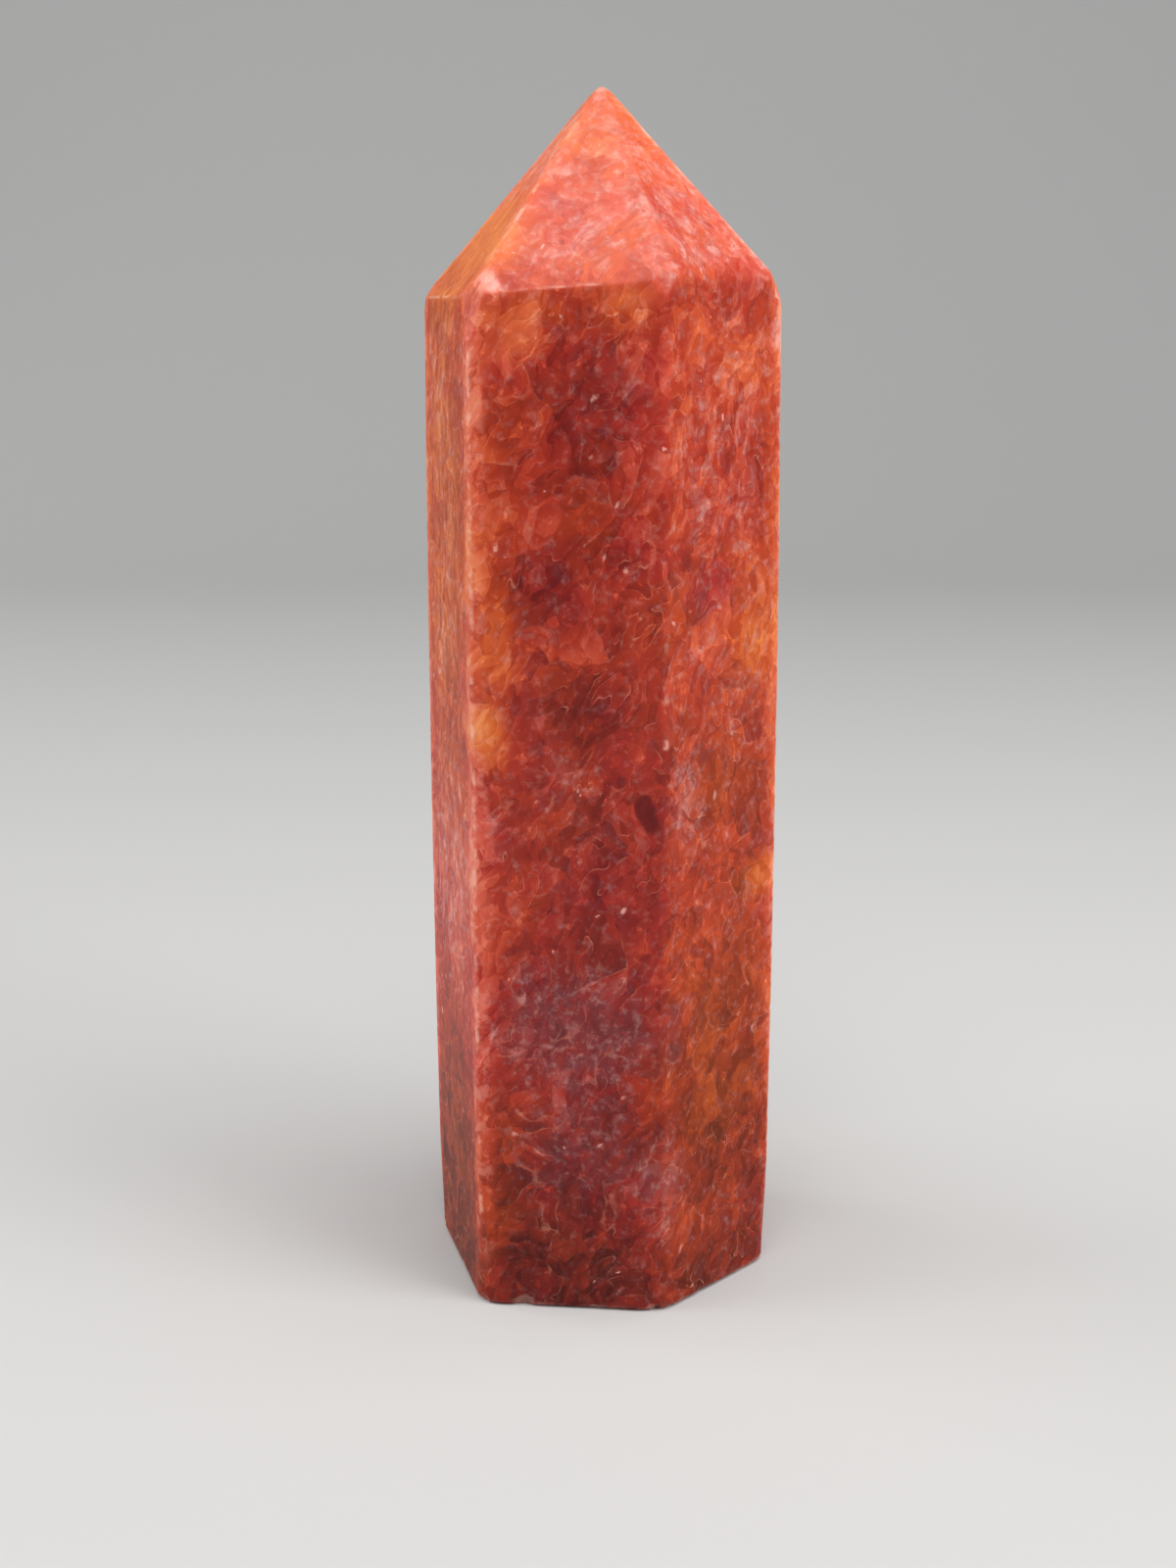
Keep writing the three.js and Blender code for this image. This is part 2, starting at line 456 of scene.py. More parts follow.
def nick_centres_group(stone_reach):
    """Points where a flake was knocked off, each marked with its scoop's radius and its bruise."""
    takes = {"Count": 40, "Lowest": 0.0, "Highest": 0.0, "Follow edges": 1.0, "Smallest": 0.3 * MM,
             "Largest": 0.9 * MM, "Depth": 0.15 * MM, "Seed": 1}
    group = Group("GeometryNodeTree", "nick centres", takes, {"Points": type(None)})
    given = group.given

    def chance(low, high, draw):
        seed = group.total(given["Seed"], float(draw))
        return group.node("FunctionNodeRandomValue", {"Min": low, "Max": high, "Seed": seed}).outputs[1]

    edges = float(len(SIDES))
    corner = group.math("DIVIDE", group.math("FLOOR", chance(0.0, edges - 0.001, 1)), edges)
    loose = chance(0.0, 1.0, 2)
    at_edge = group.total(corner, chance(-NICK_OFF_EDGE, NICK_OFF_EDGE, 3))
    follow = given["Follow edges"]
    across = group.total(group.product(at_edge, follow), group.product(loose, group.minus(1.0, follow)))
    azimuth = mesh_azimuth(group, group.math("WRAP", across, 1.0, 0.0))
    direction = level_direction(group, azimuth)
    height = chance(given["Lowest"], given["Highest"], 4)
    small_mostly = group.math("POWER", chance(0.0, 1.0, 5), MOSTLY_SMALL)
    range_of_sizes = group.minus(given["Largest"], given["Smallest"])
    radius = group.math("MULTIPLY_ADD", small_mostly, range_of_sizes, given["Smallest"])
    depth = group.product(given["Depth"], group.total(small_mostly, LEAST_DEPTH))
    reach = group.group(stone_reach, {"Direction": direction, "Height": height})["Reach"]
    out = group.minus(group.total(reach, radius), depth)
    points = group.made("GeometryNodePoints", {"Count": given["Count"]})
    values = {"Geometry": points, "Position": group.out_at(direction, out, height)}
    placed = group.made("GeometryNodeSetPosition", values)
    marks = {"scoop": radius, "bruise": chance(*NICK_BRUISES, 6)}
    group.give("Points", marked(group, placed, marks))
    return group


def foot_chip_points(group, chip):
    """One point for a chip in the rim of the foot, with the same marks as a nick."""
    azimuth, radius, depth, below, bruise = chip
    rim = 1 / max(math.cos(math.radians(azimuth - turn)) / distance for turn, distance, _ in SIDES.values())
    centre = facing(azimuth) * (rim + radius - depth) - Vector((0, 0, below))
    point = group.made("GeometryNodePoints", {"Count": 1, "Position": centre})
    return marked(group, point, {"scoop": radius, "bruise": bruise})


def scooped_reach(group, scoops, direction, height, reach):
    """How far the stone reaches where the nearest scoop has gone into it, and that scoop's bruise."""
    values = {"Geometry": scoops, "Sample Position": group.out_at(direction, reach, height)}
    nearest = group.made("GeometryNodeSampleNearest", values, domain="POINT")

    def of_nearest(value, sort):
        values = {"Geometry": scoops, "Value": value, "Index": nearest}
        return group.made("GeometryNodeSampleIndex", values, data_type=sort, domain="POINT")

    def noted(name):
        mark = group.made("GeometryNodeInputNamedAttribute", {"Name": name}, data_type="FLOAT")
        return of_nearest(mark, "FLOAT")

    centre = of_nearest(group.made("GeometryNodeInputPosition"), "FLOAT_VECTOR")
    radius = noted("scoop")
    offset = group.vector("SUBTRACT", centre, group.point(Z=height))
    along = group.vector("DOT_PRODUCT", offset, direction)
    aside = group.minus(group.vector("DOT_PRODUCT", offset, offset), group.product(along, along))
    inside = group.minus(group.product(radius, radius), aside)
    entry = group.minus(along, group.math("SQRT", group.math("MAXIMUM", inside, 0.0)))
    misses = group.math("MAXIMUM", group.math("LESS_THAN", inside, 0.0), group.math("LESS_THAN", along, 0.0))
    scooped = group.math("MINIMUM", reach, group.total(entry, group.product(misses, BLANK_REACH)))
    return scooped, noted("bruise")


def ground_point_group():
    """The whole stone: a sheet of rings and columns wrapped to the reach of the ground flats."""
    ground_flat = ground_flat_group()
    stone_reach = stone_reach_group(ground_flat)
    nicks = nick_centres_group(stone_reach)
    takes = {
        "Geometry": None,
        "Tip axis": (0.0, 0.0, 0.0),
        "Columns": len(SIDES) * COLUMNS_PER_SIDE,
        "Edge nicks": 46,
        "Rim nicks": 60,
        "Waviness": 0.035 * MM,
        "Seed": 4,
    }
    group = Group("GeometryNodeTree", "ground point", takes, {"Geometry": type(None)})
    given = group.given
    sheet = group.made("GeometryNodeMeshGrid", {
        "Size X": 1.0,
        "Size Y": float(RINGS),
        "Vertices X": group.total(given["Columns"], 1.0),
        "Vertices Y": RINGS + 1,
    })
    on_sheet = group.made("GeometryNodeInputPosition")
    place = group.node("ShaderNodeSeparateXYZ", {"Vector": on_sheet}).outputs
    across = group.total(place["X"], 0.5)
    ring = group.total(place["Y"], RINGS / 2)

    azimuth = mesh_azimuth(group, across)
    height = mesh_height(group, ring)
    direction = level_direction(group, azimuth)

    def reach_when_eased(easing):
        values = {"Direction": direction, "Height": height, "Easing": easing}
        return group.group(stone_reach, values)["Reach"]

    polished, blunt, sharp = (reach_when_eased(easing) for easing in (1.0, BLUNT, SHARP))
    crisp = group.minus(1.0, soft_edge_share(group, direction))
    near_edge = group.between(group.minus(polished, blunt), 0.0, NEAR_EDGE)
    on_edge = group.between(group.minus(sharp, polished), *ON_EDGE)
    off_foot = group.between(height, EDGE_LINES_FROM, FOOT_SOFT_BELOW)
    on_edge = group.product(on_edge, crisp, off_foot)

    surface = group.out_at(direction, polished, height)
    ripple = group.noise(surface, WAVE_LENGTH, detail=1.0)
    wave = group.product(group.minus(ripple, 0.5), 2.0, given["Waviness"])
    below_tip = group.between(height, HEIGHT - WAVES_FADE, HEIGHT, 1.0, 0.0)
    wavy = group.total(polished, group.product(wave, below_tip))

    edge_nicks = group.group(nicks, {
        "Count": given["Edge nicks"], "Lowest": 1 * MM, "Highest": SHOULDER_HEIGHT,
        "Depth": 0.09 * MM, "Seed": given["Seed"]})["Points"]
    rim_nicks = group.group(nicks, {
        "Count": given["Rim nicks"], "Lowest": -0.35 * MM, "Highest": 0.25 * MM, "Follow edges": 0.0,
        "Smallest": 0.25 * MM, "Largest": 1.1 * MM, "Depth": 0.2 * MM,
        "Seed": group.total(given["Seed"], 40.0)})["Points"]
    joined = group.node("GeometryNodeJoinGeometry")
    for points in (edge_nicks, rim_nicks, *(foot_chip_points(group, chip) for chip in FOOT_CHIPS)):
        group.tree.links.new(points, joined.inputs[0])
    scooped, bruise = scooped_reach(group, joined.outputs[0], direction, height, wavy)
    bruised = group.product(group.between(group.minus(wavy, scooped), 0.0, BRUISED_DEPTH), bruise)

    on_foot = group.between(ring, 0.0, float(FOOT_RINGS), 0.0, 1.0, easing="LINEAR")
    surface_point = group.out_at(direction, group.product(scooped, on_foot), height)
    standing = group.vector("ADD", surface_point, given["Tip axis"])
    noted = marked(group, sheet, {
        "near_edge": group.product(near_edge, on_foot),
        "soft_edge": soft_edge_share(group, direction),
        "on_edge": on_edge,
        "bruised": bruised,
    })
    wrapped = group.made("GeometryNodeSetPosition", {"Geometry": noted, "Position": standing})
    welding = {"Geometry": wrapped, "Distance": WELD_DISTANCE}
    closed = group.made("GeometryNodeMergeByDistance", welding)
    smooth = group.made("GeometryNodeSetShadeSmooth", {"Geometry": closed, "Shade Smooth": True})
    real = group.made("GeometryNodeRealizeInstances", {"Geometry": smooth})
    return group, real


def new_object(name, data):
    made = bpy.data.objects.new(name, data)
    bpy.context.scene.collection.objects.link(made)
    return made


def plain_mesh_object(name, group, values):
    """Runs a tree on an empty object and keeps what it makes as a plain mesh."""
    bench = new_object(name + "_bench", bpy.data.meshes.new(name + "_bench"))
    modifier = bench.modifiers.new("make", "NODES")
    modifier.node_group = group.tree
    sockets = {item.name: item.identifier for item in group.tree.interface.items_tree
               if item.in_out == "INPUT"}
    for label, value in values.items():
        modifier[sockets[label]] = value
    ready = bench.evaluated_get(bpy.context.evaluated_depsgraph_get())
    mesh = bpy.data.meshes.new_from_object(ready)
    bench.modifiers.remove(modifier)
    bpy.data.objects.remove(bench)
    return new_object(name, mesh)


# The look of the stone. Its pattern is laid out in millimetres from the foot's middle.

SHOULDER_BAND = (74.0, 79.0)  # mm up, where the sides' look passes into that of the facets
TIP_GLOW_BAND = (82.0, 89.0)  # mm up, where the tip turns warmer: a painted glow of light coming through the thin tip
PAINTED_SHADE_BELOW = 34.0  # mm up, below which shade is painted into the stone, darker towards its foot
LARGE_GRAIN, SMALL_GRAIN = 2.7, 1.05  # mm across
GRAIN_TILT = math.radians(26)
GRAIN_STRETCH = 1.7  # how many times as long as they are wide
CRACK_TILT = math.radians(32)
CRACK_STRETCH = 2.6
FLECK_TILT = math.radians(30)
FLECK_STRETCH = 1.8

# The stone from dark to light, where it is cool, where it is warm and where it is warmest.
COOL_REDS = ["#501013", "#87201f", "#b6352b", "#dc5e4a", "#f4967e"]
WARM_REDS = ["#5e1c0c", "#933119", "#c04722", "#e36d39", "#f9a068"]
AMBERS = ["#5c230b", "#933b13", "#c3561f", "#e57a35", "#f8a863"]
MILK_IN_SHADE, MILK_IN_LIGHT = "#80464a", "#fac4ba"
SPOT_IN_SHADE, SPOT_IN_LIGHT = "#a87a78", "#ffd2c6"
CRACK_COLOUR = "#f2a184"
# Pale flecks: partly the stone's own, partly painted glints of light off small flakes inside it.
PALE_FLECK_AND_GLINT = "#f6b3a2"
DARK_FLECK = "#6b1817"
DARK_GRAIN = "#5e1418"
# Pale edge lines: partly wear, partly a painted highlight on the polished edges.
EDGE_WEAR_AND_HIGHLIGHT = "#fdc4b0"
FRAYED_EDGE = "#f6a08c"
SAWN_BEVEL = "#c98e84"
BRUISE = "#f7c9b8"

# The light that comes through the stone, and the thin clear shine of its polish.
POLISH = {
    "Subsurface Weight": 0.5,
    "Subsurface Radius": (1.0, 0.35, 0.2),
    "Subsurface Scale": 0.9 * MM,
    "Specular IOR Level": 0.0,
    "Coat Weight": 0.32,
    "Coat Roughness": 0.14,
}

# Soft clouds of colour behind each side: across and up from the middle of the side's foot, how far each
# reaches sideways and upwards, all in mm, and how much lighter, warmer and milkier the stone is in it.
COLOUR_CLOUDS = {
    "front": [
        (-4.4, 73.6, 3.4, 3, 0.2, 0.6, 0),
        (2.5, 74.4, 2.6, 2.2, 0.18, 0.5, 0),
        (1, 69.3, 4, 5.2, -0.14, -0.05, 0.3),
        (-4.6, 66.1, 4.2, 4.4, -0.1, 0, 0),
        (0.8, 62.5, 4.6, 4, -0.08, 0.1, 0.15),
        (-2.6, 55.7, 4.6, 4.4, -0.13, 0, 0.15),
        (4.2, 52.3, 4, 5.4, 0.03, 0.35, 0),
        (-6.6, 52.1, 2.2, 6, 0.1, 0.45, 0),
        (-7, 45.1, 2.1, 3, 0.2, 1.1, 0),
        (-1, 46.6, 5.4, 4.2, -0.13, -0.1, 0),
        (-2, 42.3, 3.4, 3, 0.02, -0.1, 0.4),
        (0.5, 37.3, 5.4, 5.4, -0.07, 0, 0.15),
        (-7, 37.4, 2.2, 3, 0.13, -0.4, 0.25),
        (-6.2, 32.6, 3.2, 4.4, 0.08, 0.05, 0),
        (0.1, 31.7, 5.6, 5, -0.12, -0.15, 0.05),
        (-0.6, 22.9, 8.5, 7.2, -0.05, -0.4, 0.75),
        (-0.6, 13.1, 7.2, 5.6, -0.08, -0.1, 0.5),
        (-1.6, 3.6, 8.5, 7.4, -0.14, 0.2, 0),
        (-6.5, 76.2, 1.3, 1.1, 0.22, -0.2, 0.9),
        (3.6, 38, 4.4, 30, -0.05, -0.15, 0),
        (-7, 10.8, 2.6, 8, 0.03, 0.4, 0),
    ],
    "right": [
        (1, 81, 8.5, 7, -0.03, -0.1, 0.1),
        (0.9, 71, 8.5, 5.2, 0.15, -0.1, 0.06),
        (0.5, 60, 9, 16, 0.03, 0.05, 0.08),
        (-5, 10.5, 2.4, 5.5, 0.1, -0.1, 0.55),
        (0.5, 30, 9, 30, -0.05, 0.2, 0),
        (1, 62.5, 6.8, 6.2, 0.06, -0.3, 0.12),
        (-0.8, 55.3, 3, 2.4, -0.05, -0.8, 0.1),
        (4.8, 51.2, 3.8, 5.6, 0.1, 0.55, 0),
        (1.9, 45.7, 6.6, 4, 0.02, -0.1, 0.15),
        (0.9, 41, 4.6, 4.2, -0.03, 0.45, 0),
        (-3.2, 39.9, 2.8, 5, 0, 0, 0.45),
        (4.8, 32.7, 3.4, 2.4, 0.12, 1.1, 0),
        (1.3, 17.4, 8.5, 14, -0.03, 0.75, -0.1),
        (1, 1.6, 7.8, 4.6, -0.12, 0.35, 0),
        (7, 73.6, 1.6, 3.2, 0.18, -0.2, 0.5),
    ],
    # On the left side the tan tones are partly a painted reflection of warm surroundings, and the pale milky
    # cloud 32 mm up is a painted sheen.
    "left": [
        (0, 82, 11, 9, -0.08, 2.2, -0.7),
        (0, 60, 10, 26, 0.06, 1.2, 0.25),
        (0, 32, 10, 12, 0.12, -0.1, 0.35),
        (0, 5, 10, 18, -0.16, 1.1, -0.3),
    ],
    "back right": [
        (-3, 60, 5, 7, 0.1, 0.5, 0),
        (2, 30, 6, 8, -0.1, -0.3, 0.5),
    ],
    "back": [
        (3, 66, 5, 6, -0.12, -0.2, 0.3),
        (-3, 44, 4, 5, 0.14, 0.7, 0),
        (1, 18, 8, 7, -0.05, -0.4, 0.6),
    ],
    "back left": [
        (2, 56, 5, 8, 0.1, 0.4, 0.2),
        (-2, 24, 6, 9, -0.1, -0.1, 0.3),
    ],
}
CLOUD_DEPTH = 7.0  # mm that a cloud reaches into the stone from its side

# Where healed cracks crowd together, where clear dark grains lie, and where pale flecks and painted glints
# crowd together: the side, across, up and radius in mm.
CRACKED_PLACES = [
    ("front", -1.1, 42.5, 2.6),
    ("front", -3.6, 33.6, 2.4),
    ("front", 5, 54.5, 2.6),
    ("front", 1.6, 19, 1.8),
    ("right", 2.4, 45.6, 2.6),
    ("right", 4.4, 63, 1.8),
    ("back", -2, 34, 2.8),
    ("back left", 1, 46, 2.4),
]
DARK_GRAINS = [
    ("front", 0.7, 45.6, 0.75),
    ("front", 2.9, 42.2, 0.85),
    ("front", 4.9, 39.2, 0.95),
    ("back right", 1, 48, 0.9),
    ("back", -1.5, 26, 1),
]
PALE_FLECK_AND_GLINT_PLACES = [
    ("right", -5.3, 43.4, 2),
    ("right", -4.9, 34, 1.8),
    ("right", -5.9, 64.9, 1.5),
    ("right", -4.8, 53, 1.5),
    ("right", -5, 10, 2.6),
    ("front", 1.4, 69, 2.6),
    ("front", 2, 14.5, 2.6),
    ("back", 3, 26, 2.4),
]


def crumple_group():
    """Pushes a pattern about, so that nothing in it runs straight."""
    takes = {"Vector": (0.0, 0.0, 0.0), "Size": 4.0, "Amount": 1.0, "Detail": 2.0}
    group = Group("ShaderNodeTree", "crumple", takes, {"Vector": tuple})
    given = group.given
    scale = group.math("DIVIDE", 1.0, given["Size"])
    noise = group.node("ShaderNodeTexNoise", {
        "Vector": given["Vector"], "Scale": scale, "Detail": given["Detail"]})
    push = group.vector("SUBTRACT", noise.outputs["Color"], (0.5, 0.5, 0.5))
    push = group.scaled(push, group.product(given["Amount"], 2.0))
    group.give("Vector", group.vector("ADD", given["Vector"], push))
    return group


def grain_group():
    """One size of grain. Each grain has its own tone and hue, and fades from one flank to the other."""
    takes = {"Vector": (0.0, 0.0, 0.0), "Size": 3.0, "Line width": 0.04}
    gives = {"Tone": float, "Hue": float, "Slope": float, "Line": float}
    group = Group("ShaderNodeTree", "stone grain", takes, gives)
    given = group.given
    at = group.scaled(given["Vector"], group.math("DIVIDE", 1.0, given["Size"]))
    cell, chance = group.cells(at)
    values = {"Vector": at, "Scale": 1.0}
    to_border = group.made("ShaderNodeTexVoronoi", values, feature="DISTANCE_TO_EDGE")
    tilt = group.vector("NORMALIZE", group.vector("SUBTRACT", cell["Color"], (0.5, 0.5, 0.5)))
    offset = group.vector("SUBTRACT", at, cell["Position"])
    group.give("Tone", chance["Red"])
    group.give("Hue", chance["Green"])
    group.give("Slope", group.between(group.vector("DOT_PRODUCT", offset, tilt), -0.55, 0.55, -1.0, 1.0))
    group.give("Line", group.between(to_border, 0.0, given["Line width"], 1.0, 0.0))
    return group


def healed_crack_group():
    """Healed cracks inside the stone: thin layers, each bright at one edge and fading from it."""
    takes = {"Vector": (0.0, 0.0, 0.0), "Size": 3.4, "Layers": 8.0, "Line width": 0.07}
    group = Group("ShaderNodeTree", "healed crack", takes, {"Fade": float, "Line": float})
    given = group.given
    scale = group.math("DIVIDE", 1.0, given["Size"])
    noise = group.node("ShaderNodeTexNoise", {
        "Vector": given["Vector"], "Scale": scale, "Detail": 2.5, "Roughness": 0.55})
    fade = group.math("FRACT", group.product(noise.outputs["Fac"], given["Layers"]))
    group.give("Fade", fade)
    group.give("Line", group.between(fade, 0.0, given["Line width"], 1.0, 0.0))
    return group


def colour_cloud_group():
    """Adds one soft cloud to the stone's lightness, warmth and milkiness."""
    takes = {"Vector": (0.0, 0.0, 0.0), "Middle": (0.0, 0.0, 0.0), "Spread": (1.0, 1.0, 1.0),
             "Lighter": 0.0, "Warmer": 0.0, "Milkier": 0.0, "Light": 0.0, "Warmth": 0.0, "Milk": 0.0}
    gives = {"Light": float, "Warmth": float, "Milk": float}
    group = Group("ShaderNodeTree", "colour cloud", takes, gives)
    given = group.given
    offset = group.vector("SUBTRACT", given["Vector"], given["Middle"])
    away = group.vector("LENGTH", group.vector("DIVIDE", offset, given["Spread"]))
    mask = group.between(away, 1.15, 0.25)
    for field, change in (("Light", "Lighter"), ("Warmth", "Warmer"), ("Milk", "Milkier")):
        group.give(field, group.math("MULTIPLY_ADD", mask, given[change], given[field]))
    return group


class StonePattern(Wiring):
    """The pattern inside the stone, laid layer over layer in the tree of its material."""

    def __init__(self, tree, tip):
        super().__init__(tree)
        self.tip = tip / MM
        self.crumple = crumple_group()
        self.at = self.scaled(self.node("ShaderNodeTexCoord").outputs["Object"], 1 / MM)
        self.height = self.node("ShaderNodeSeparateXYZ", {"Vector": self.at}).outputs["Z"]
        self.in_facets = self.between(self.height, *SHOULDER_BAND)
        self.swirled = self.crumpled(self.at, 6.0, 2.0)
        self.split = self.crumpled(self.swirled, 1.2, 0.22)
        self.folded = self.crumpled(self.swirled, 1.5, 0.4)
        self.along_grain = self.drawn_out(self.folded, (0.0, GRAIN_TILT, 0.0), GRAIN_STRETCH)
        self.clouded = self.crumpled(self.at, 2.2, 1.3, detail=3.0)

    def crumpled(self, vector, size, amount, detail=2.0):
        values = {"Vector": vector, "Size": size, "Amount": amount, "Detail": detail}
        return self.group(self.crumple, values)[0]

    def drawn_out(self, vector, turn, stretch):
        """Places in a pattern that is drawn out along an upright turned by this much."""
        values = {"Vector": vector, "Rotation": turn, "Scale": (1.0, 1.0, stretch)}
        return self.made("ShaderNodeMapping", values, vector_type="TEXTURE")

    def swing(self, value, amount):
        """A 0 to 1 value as a swing of this much either way."""
        return self.math("MULTIPLY_ADD", value, 2 * amount, -amount)

    def but_for(self, share):
        return self.minus(1.0, share)

    def mark(self, name):
        """One of the marks that the stone's mesh carries."""
        return self.node("ShaderNodeAttribute", attribute_name=name).outputs["Fac"]

    def ramp(self, value, codes):
        """A colour from dark to light, with the given colours evenly spaced."""
        node = self.node("ShaderNodeValToRGB", {"Fac": value})
        band = node.color_ramp
        while len(band.elements) < len(codes):
            band.elements.new(1.0)
        for i, (element, code) in enumerate(zip(band.elements, codes)):
            element.position = i / (len(codes) - 1)
            element.color = paint(code)
        return node.outputs["Color"]

    def laid_over(self, colour, code, *shares):
        """The colour with another over it, as strong as all the shares together leave it."""
        return self.blend(self.product(*shares), colour, paint(code))

    def seen_from(self, side, vector):
        """Places measured from the tip axis, with X out of the side, Y across it and Z up."""
        offset = self.vector("SUBTRACT", vector, tuple(self.tip))
        values = {"Vector": offset, "Angle": -math.radians(SIDES[side][0])}
        return self.made("ShaderNodeVectorRotate", values, rotation_type="Z_AXIS")

    def gathered(self, vector, places, fade_from, stretch=1.0):
        """1 in any of the places, 0 outside them all. Each fades from this share of its radius."""
        squeezed = Vector((1.0, 1.0, 1 / stretch))
        vector = self.vector("MULTIPLY", vector, tuple(squeezed))
        answer = 0.0
        for side, across, up, radius in places:
            middle = (on_side(side, across, up) + self.tip) * squeezed
            away = self.vector("DISTANCE", vector, tuple(middle))
            answer = self.math("MAXIMUM", answer, self.between(away, radius, radius * fade_from))
        return answer

    def past_side(self, side):
        """How far outside a side's flat a place is; inside the stone it is negative."""
        azimuth, distance, _ = SIDES[side]
        outward = facing(azimuth)
        reach = distance / MM + outward.dot(self.tip)
        return self.minus(self.vector("DOT_PRODUCT", self.at, tuple(outward)), reach)

    def behind_right_side(self):
        """1 just behind the right side, 0 behind the front, with a clear step at the edge between them."""
        past_front = self.past_side("front")
        step = self.minus(self.past_side("right"), past_front)
        behind = self.product(self.between(step, -0.3, 0.3), self.between(past_front, -17.0, -11.0))
        return self.product(behind, self.but_for(self.in_facets))

    def lay_clouds(self):
        """The broad changes of lightness, warmth and milkiness, with painted light among them."""
        self.light = self.total(
            self.swing(self.noise(self.at, 9.0), 0.17), 0.45,
            # painted light: the facets lighter, as if lit from above
            self.product(self.in_facets, 0.25),
            # painted shade, darker towards the foot
            self.between(self.height, 0.0, PAINTED_SHADE_BELOW, -0.2, 0.0))
        self.warmth = self.total(
            self.swing(self.noise(self.at, 7.0, shift=(40.0, 0.0, 0.0)), 0.4), 0.3,
            # painted glow: the thin tip warmer, as if light came through it
            self.between(self.height, *TIP_GLOW_BAND, 0.0, 0.6))
        # Painted sheen: the facets milkier, as if they reflected the light above them.
        self.milk = self.product(self.in_facets, 0.3)
        right_side = self.behind_right_side()
        self.warmth = self.math("MULTIPLY_ADD", right_side, 0.35, self.warmth)
        self.milk = self.math("MULTIPLY_ADD", right_side, 0.12, self.milk)

        cloud = colour_cloud_group()
        seen_from = {side: self.seen_from(side, self.clouded) for side in SIDES}
        places = [(side, *values) for side, clouds in COLOUR_CLOUDS.items() for values in clouds]
        for side, across, up, wide, high, lighter, warmer, milkier in places:
            changed = self.group(cloud, {
                "Vector": seen_from[side],
                "Middle": (side_at(side, up * MM) / MM, across, up),
                "Spread": (CLOUD_DEPTH, wide, high),
                "Lighter": lighter,
                "Warmer": warmer,
                "Milkier": milkier,
                "Light": self.light,
                "Warmth": self.warmth,
                "Milk": self.milk,
            })
            self.light, self.warmth, self.milk = (changed[i] for i in range(3))

    def lay_grains(self):
        """Grains of two sizes, the layers of healed cracks and a fine mottling."""
        grain = grain_group()
        large = {"Vector": self.along_grain, "Size": LARGE_GRAIN, "Line width": 0.035}
        self.large = self.group(grain, large)
        self.small = self.group(grain, {"Vector": self.along_grain, "Size": SMALL_GRAIN})
        sheared = self.drawn_out(self.split, (0.35, CRACK_TILT, 0.0), CRACK_STRETCH)
        self.cracks = self.group(healed_crack_group(), {"Vector": sheared})
        mottle = self.noise(self.along_grain, 0.6, 4.0, 0.72)
        grains = self.total(
            self.swing(self.large["Tone"], 0.05),
            self.swing(self.small["Tone"], 0.05),
            self.product(self.large["Slope"], 0.06),
            self.product(self.small["Slope"], 0.06),
            self.swing(self.cracks["Fade"], -0.06),
            self.swing(mottle, 0.08),
            self.between(mottle, 0.56, 0.76, 0.0, 0.26),
        )
        calmer_facets = self.between(self.height, *SHOULDER_BAND, 1.0, 0.5)
        self.light = self.total(self.light, self.product(grains, calmer_facets))
        self.warmth = self.total(
            self.warmth, self.swing(self.large["Hue"], 0.16), self.swing(self.small["Hue"], 0.1))

    def lighten_edges(self):
        """The stone is thin at its edges, so more light comes through there; that glow is painted in,
        lighter and less warm.
        """
        crisp = self.but_for(self.mark("soft_edge"))
        off_foot = self.between(self.height, 0.0, 12.0, 0.35, 1.0)
        self.clear_edge = self.product(self.mark("near_edge"), crisp, off_foot)
        lighter = self.between(self.height, *SHOULDER_BAND, 0.26, 0.12)
        self.light = self.math("MULTIPLY_ADD", self.clear_edge, lighter, self.light)
        self.warmth = self.math("MULTIPLY_ADD", self.clear_edge, -0.25, self.warmth)

    def colour_of_stone(self):
        warm = self.between(self.warmth, 0.0, 1.0, easing="LINEAR")
        red = self.blend(warm, self.ramp(self.light, COOL_REDS), self.ramp(self.light, WARM_REDS))
        return self.blend(self.between(self.warmth, 1.0, 1.8, 0.0, 0.8), red, self.ramp(self.light, AMBERS))

    def veiled(self, colour):
        """Milk inside the stone: a soft uneven veil with clots and small paler spots in it."""
        spots = self.noise(self.along_grain, 0.75)
        clots = self.noise(self.folded, 1.3, 3.0, 0.6)
        haze = self.total(
            self.milk,
            self.product(clots, 0.6),
            self.between(clots, 0.5, 0.57, 0.0, 0.2),
            self.swing(spots, 0.5),
            self.product(self.clear_edge, -0.25),
        )
        pale_where_light = self.between(self.total(self.light, self.swing(spots, 0.2)), 0.3, 0.95)
        milk_colour = self.blend(pale_where_light, paint(MILK_IN_SHADE), paint(MILK_IN_LIGHT))
        colour = self.blend(self.between(haze, 0.4, 1.45, 0.0, 0.6), colour, milk_colour)
        fine = self.between(self.noise(self.at, 0.6, 3.0, 0.6), 0.5, 0.72)
        amount = self.product(fine, self.between(haze, 0.2, 1.2, 0.1, 0.34))
        return self.blend(amount, colour, self.blend(self.light, paint(SPOT_IN_SHADE), paint(SPOT_IN_LIGHT)))

    def lined(self, colour):
        """Fine pale lines: the outlines of some grains and the edges of the healed cracks."""
        outlined = self.between(self.noise(self.swirled, 2.4), 0.5, 0.64)
        anywhere = self.between(self.noise(self.swirled, 2.6, shift=(0.0, 0.0, 31.0)), 0.52, 0.68)
        cracked = self.math("MAXIMUM", anywhere, self.gathered(self.clouded, CRACKED_PLACES, 0.5))
        lines = self.math("MAXIMUM", self.product(self.large["Line"], outlined, 0.26),
                          self.product(self.cracks["Line"], cracked, 0.6))
        broken = self.between(self.noise(self.at, 0.7, 3.0, 0.65), 0.38, 0.56, 0.15, 1.0)
        return self.laid_over(colour, CRACK_COLOUR, lines, broken)

